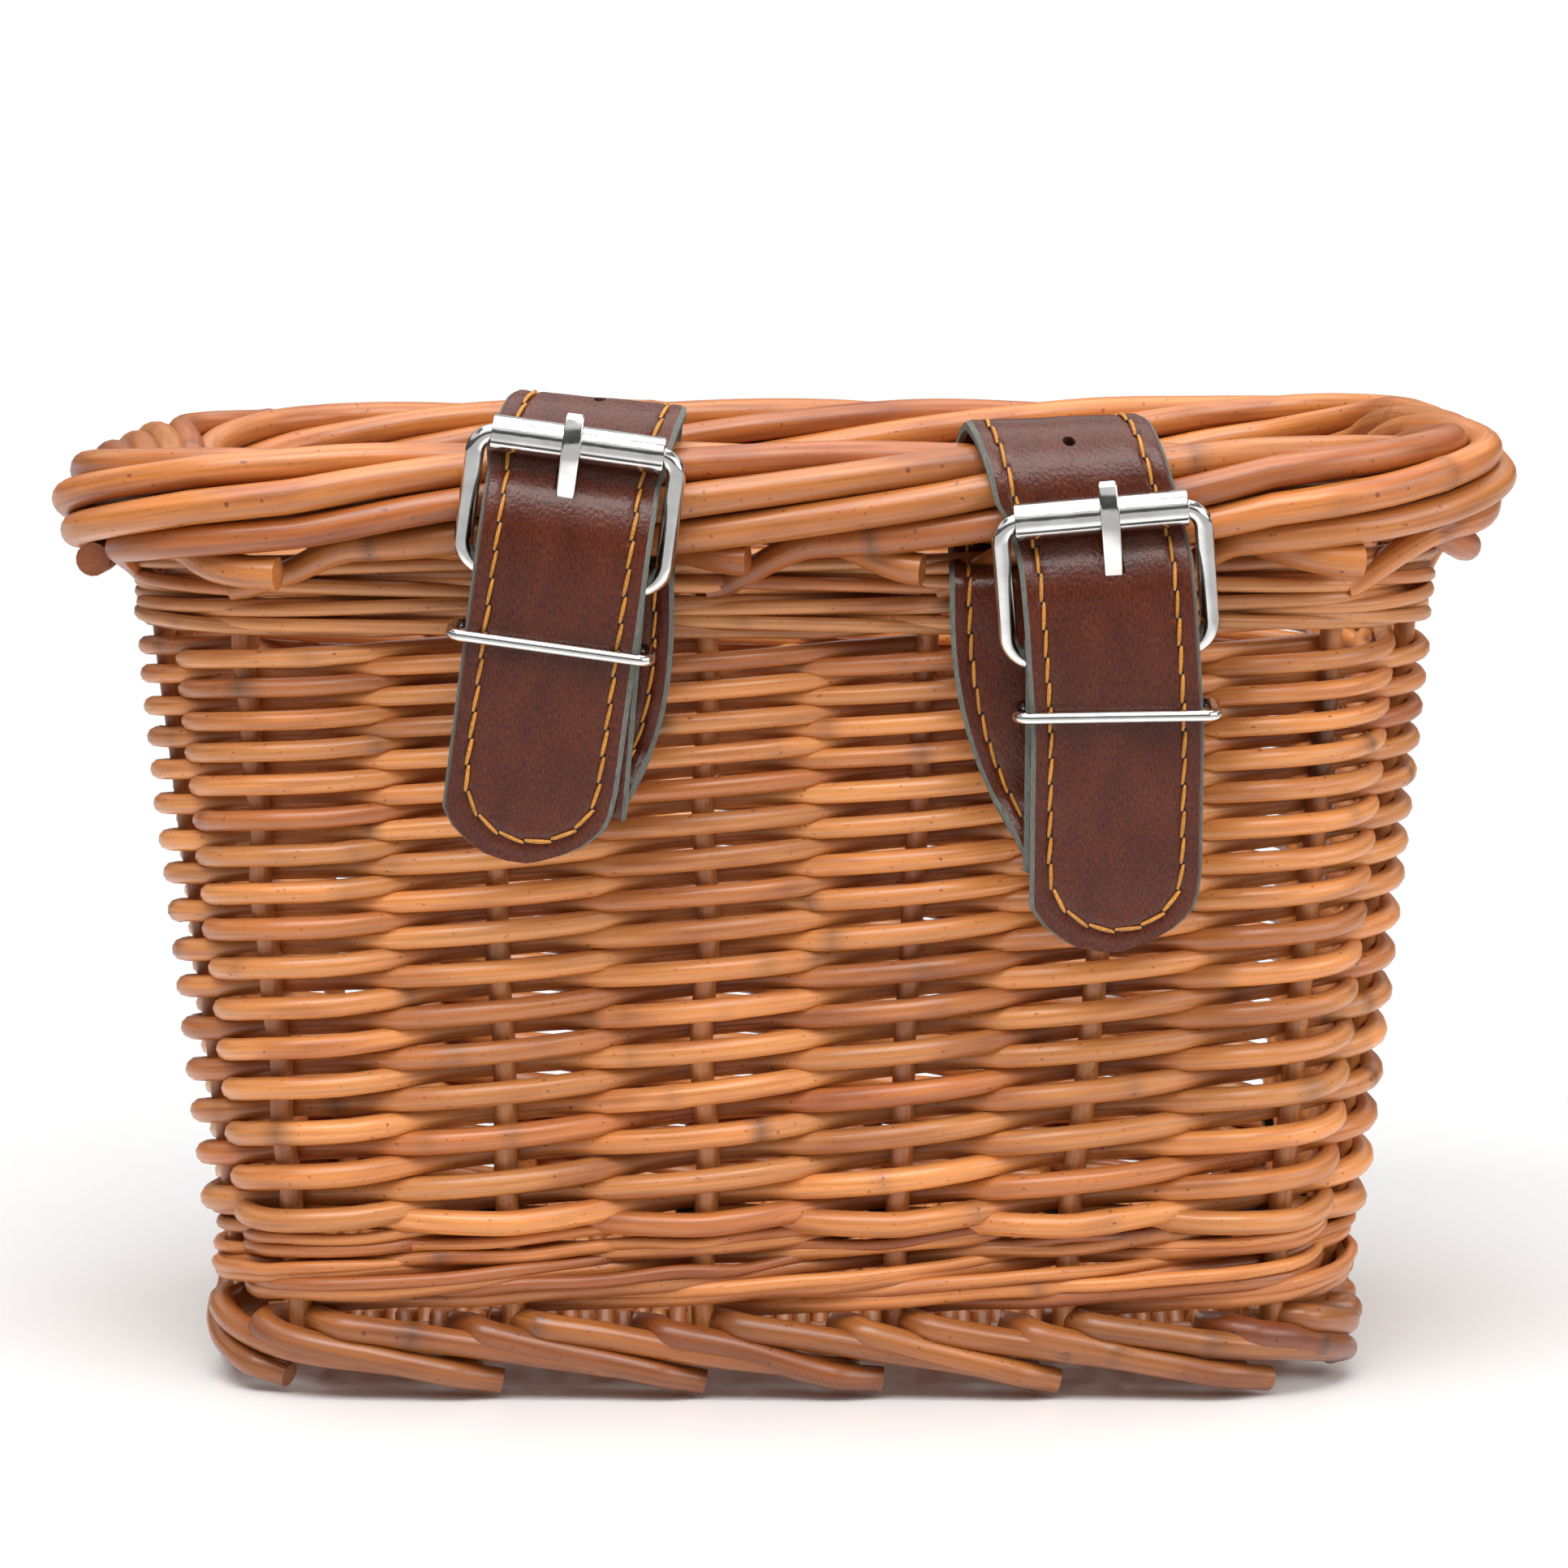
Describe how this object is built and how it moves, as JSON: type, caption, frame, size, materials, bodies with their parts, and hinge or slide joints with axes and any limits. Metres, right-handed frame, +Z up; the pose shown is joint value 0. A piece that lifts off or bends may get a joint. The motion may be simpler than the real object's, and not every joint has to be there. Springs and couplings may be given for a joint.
{
  "type": "handlebar basket",
  "caption": "Woven willow basket with a thick twisted rim, a border foot, and leather straps with roller buckles for hanging it on a handlebar.",
  "frame": {"origin": "centre of the object's bounding box, at the floor under the foot border", "axes": "+X along the basket's length, +Y away from the strapped side, +Z up"},
  "size_m": [0.239, 0.1904, 0.1656],
  "materials": {
    "willow_stakes": "varnished peeled willow, satin",
    "willow_weave": "varnished peeled willow, satin",
    "willow_top_wale": "varnished thin peeled willow, satin",
    "willow_border": "varnished thick willow, satin",
    "willow_base": "varnished peeled willow, satin",
    "strap_leather": "dark red-brown grained leather, semi-gloss, stitched along its edges",
    "buckle_nickel": "bright nickel plate"
  },
  "bodies": {
    "basket": {"stake_01": "willow_stakes", "stake_02": "willow_stakes", "stake_03": "willow_stakes", "stake_04": "willow_stakes", "stake_05": "willow_stakes", "stake_06": "willow_stakes", "stake_07": "willow_stakes", "stake_08": "willow_stakes", "stake_09": "willow_stakes", "stake_10": "willow_stakes", "stake_11": "willow_stakes", "stake_12": "willow_stakes", "stake_13": "willow_stakes", "stake_14": "willow_stakes", "stake_15": "willow_stakes", "stake_16": "willow_stakes", "stake_17": "willow_stakes", "stake_18": "willow_stakes", "stake_19": "willow_stakes", "stake_20": "willow_stakes", "wale_bottom": "willow_weave", "weave_lower": "willow_weave", "weave_middle": "willow_weave", "weave_upper": "willow_weave", "wale_top": "willow_top_wale", "border_rod_1": "willow_border", "border_rod_2": "willow_border", "border_rod_3": "willow_border", "border_rod_4": "willow_border", "border_rod_5": "willow_border", "border_core": "willow_border", "foot_border_lower": "willow_border", "foot_border_upper": "willow_border", "base_weave": "willow_base", "base_stick_1": "willow_base", "base_stick_2": "willow_base", "base_stick_3": "willow_base", "base_stick_4": "willow_base", "base_stick_5": "willow_base"},
    "left_strap_loop": {"left_strap": "strap_leather", "left_buckle_frame": "buckle_nickel"},
    "left_roller": {"left_buckle_roller": "buckle_nickel"},
    "left_prong": {"left_buckle_prong": "buckle_nickel"},
    "left_keeper_ring": {"left_keeper": "buckle_nickel"},
    "left_tail": {"left_strap_tail": "strap_leather"},
    "right_strap_loop": {"right_strap": "strap_leather", "right_buckle_frame": "buckle_nickel"},
    "right_roller": {"right_buckle_roller": "buckle_nickel"},
    "right_prong": {"right_buckle_prong": "buckle_nickel"},
    "right_keeper_ring": {"right_keeper": "buckle_nickel"},
    "right_tail": {"right_strap_tail": "strap_leather"}
  },
  "joints": [
    {"name": "left_strap_swing", "type": "hinge", "parent": "basket", "child": "left_strap_loop", "pos_m": [-0.0333, -0.0755, 0.148], "axis": [-1, 0, 0], "range_deg": [0, 60]},
    {"name": "left_roller_spin", "type": "hinge", "parent": "left_strap_loop", "child": "left_roller", "pos_m": [-0.03195, -0.0887, 0.15761], "axis": [0.9903, 0, -0.1392], "continuous": true},
    {"name": "left_prong_lift", "type": "hinge", "parent": "left_strap_loop", "child": "left_prong", "pos_m": [-0.0349, -0.0857, 0.13661], "axis": [0.9903, 0, -0.1392], "range_deg": [0, 3]},
    {"name": "left_keeper_slide", "type": "slide", "parent": "left_strap_loop", "child": "left_keeper_ring", "axis": [0.1381, -0.1219, 0.9829], "range_m": [0, 0.0022]},
    {"name": "left_tail_lift", "type": "hinge", "parent": "left_strap_loop", "child": "left_tail", "pos_m": [-0.03664, -0.09026, 0.12423], "axis": [-0.9903, 0, 0.1392], "range_deg": [0, 60], "stiffness_Nm_per_rad": 0.004},
    {"name": "right_strap_swing", "type": "hinge", "parent": "basket", "child": "right_strap_loop", "pos_m": [0.04905, -0.0755, 0.148], "axis": [-1, 0, 0], "range_deg": [0, 60]},
    {"name": "right_roller_spin", "type": "hinge", "parent": "right_strap_loop", "child": "right_roller", "pos_m": [0.04916, -0.0908, 0.14671], "axis": [0.9962, 0, 0.0872], "continuous": true},
    {"name": "right_prong_lift", "type": "hinge", "parent": "right_strap_loop", "child": "right_prong", "pos_m": [0.0511, -0.0854, 0.12459], "axis": [0.9962, 0, 0.0872], "range_deg": [0, 3]},
    {"name": "right_keeper_slide", "type": "slide", "parent": "right_strap_loop", "child": "right_keeper_ring", "axis": [-0.0865, -0.1219, 0.9888], "range_m": [0, 0.0022]},
    {"name": "right_tail_lift", "type": "hinge", "parent": "right_strap_loop", "child": "right_tail", "pos_m": [0.05219, -0.08996, 0.11213], "axis": [-0.9962, 0, -0.0872], "range_deg": [0, 60], "stiffness_Nm_per_rad": 0.004}
  ]
}
